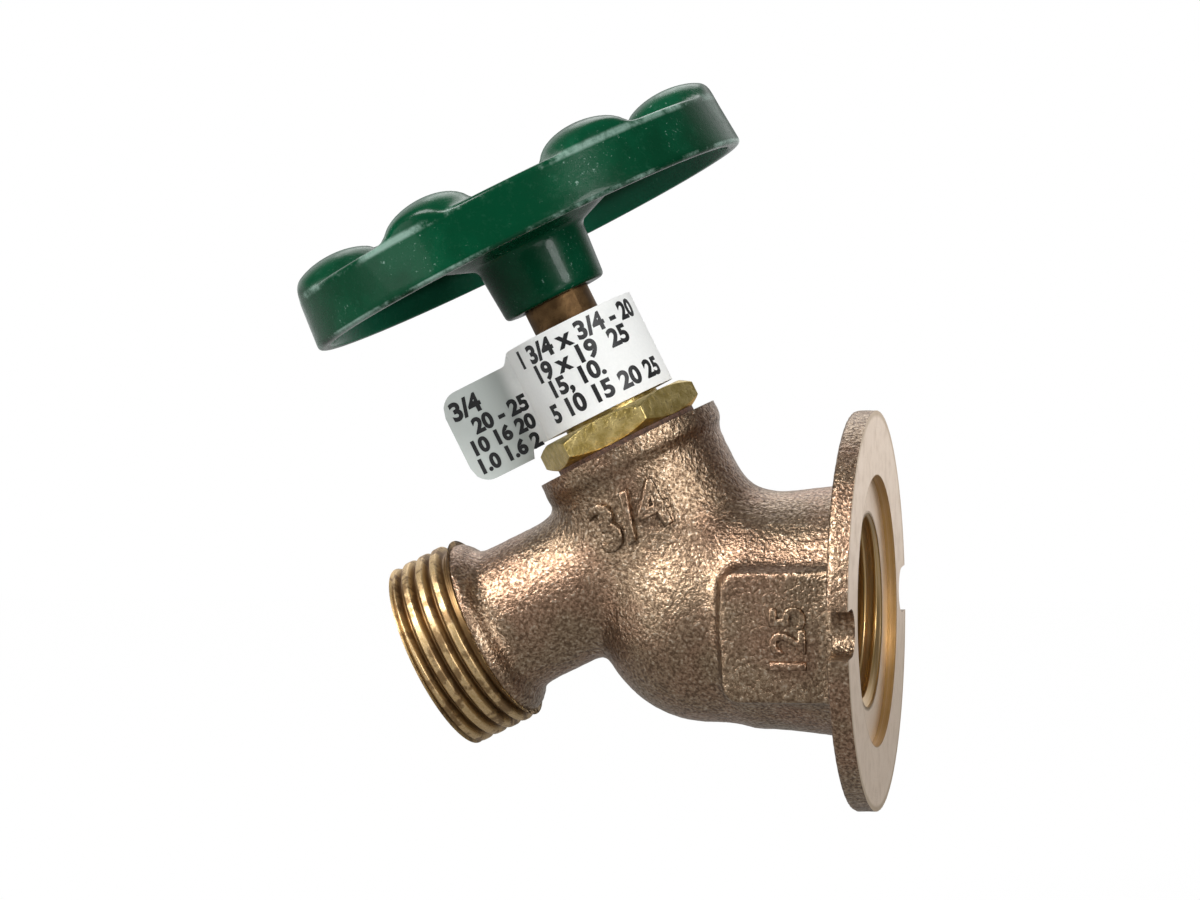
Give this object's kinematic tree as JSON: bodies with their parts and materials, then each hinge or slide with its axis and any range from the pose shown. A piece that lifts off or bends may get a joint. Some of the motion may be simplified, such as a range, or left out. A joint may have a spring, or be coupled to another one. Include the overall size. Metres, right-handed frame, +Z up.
{
  "type": "sillcock",
  "caption": "Outdoor wall tap with a wall flange, a threaded pipe inlet, a slanted hose spout and a round handwheel on a leaning valve stem.",
  "frame": {"origin": "centre of the pipe inlet on the back face of the wall flange", "axes": "+X out of the inlet towards the wall, +Z up, +Y completes a right-handed frame; the stem and spout lie in the plane Y = 0"},
  "size_m": [0.0789, 0.0648, 0.0995],
  "materials": {
    "cast_bronze": "rough sand-cast bronze, machined at the faces and threads",
    "machined_brass": "machined brass, slightly dull",
    "wheel_paint": "glossy dark green enamel on a casting",
    "washer_rubber": "moulded black rubber",
    "gasket_fibre": "pressed fibre",
    "packing_graphite": "dull grey graphited packing",
    "label_paper": "smooth white paper",
    "screw_steel": "zinc-plated steel"
  },
  "bodies": {
    "housing": {"body": "cast_bronze", "bonnet": "machined_brass", "bonnet_gasket": "gasket_fibre", "packing_washer": "machined_brass", "stem_packing": "packing_graphite", "packing_nut": "machined_brass", "paper_label": "label_paper"},
    "washer": {"seat_washer": "washer_rubber"},
    "spindle": {"stem": "machined_brass", "washer_screw": "machined_brass", "handwheel": "wheel_paint", "handle_screw": "screw_steel"}
  },
  "joints": [
    {"name": "stem_lift", "type": "slide", "parent": "housing", "child": "washer", "axis": [-0.4337, 0, 0.9011], "range_m": [0, 0.0051]},
    {"name": "handle_turn", "type": "hinge", "parent": "washer", "child": "spindle", "pos_m": [-0.02797, 0, 0.00991], "axis": [-0.4337, 0, 0.9011], "range_deg": [0, 720]}
  ],
  "couplings": [
    {"joint": "stem_lift", "follows": "handle_turn", "m_per_rad": 0.00040425}
  ]
}
